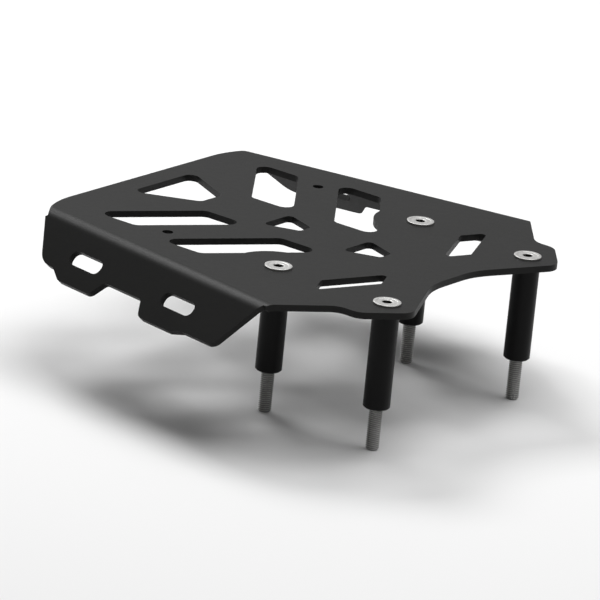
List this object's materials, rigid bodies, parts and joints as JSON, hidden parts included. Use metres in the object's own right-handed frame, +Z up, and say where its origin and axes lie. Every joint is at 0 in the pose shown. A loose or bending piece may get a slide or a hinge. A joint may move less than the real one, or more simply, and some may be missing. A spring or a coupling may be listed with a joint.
{
  "type": "motorcycle luggage rack",
  "caption": "Folded sheet-metal luggage rack with cut-out windows and slotted, outward-sloping sides, held up on round posts by long countersunk bolts.",
  "frame": {"origin": "midway between the feet of the four posts, on the plane where they rest on the bodywork", "axes": "+X forwards along the vehicle, +Y to its left, +Z up, square to the plate"},
  "size_m": [0.2596, 0.3014, 0.0901],
  "materials": {
    "coated_sheet": "fine-textured matt black powder coat",
    "black_posts": "satin black",
    "plated_steel": "satin zinc-plated steel"
  },
  "bodies": {
    "root": {"rack_plate": "coated_sheet", "post_rear_right": "black_posts", "post_rear_left": "black_posts", "post_front_right": "black_posts", "post_front_left": "black_posts", "bolt_rear_right": "plated_steel", "bolt_rear_left": "plated_steel", "bolt_front_right": "plated_steel", "bolt_front_left": "plated_steel"}
  },
  "joints": []
}
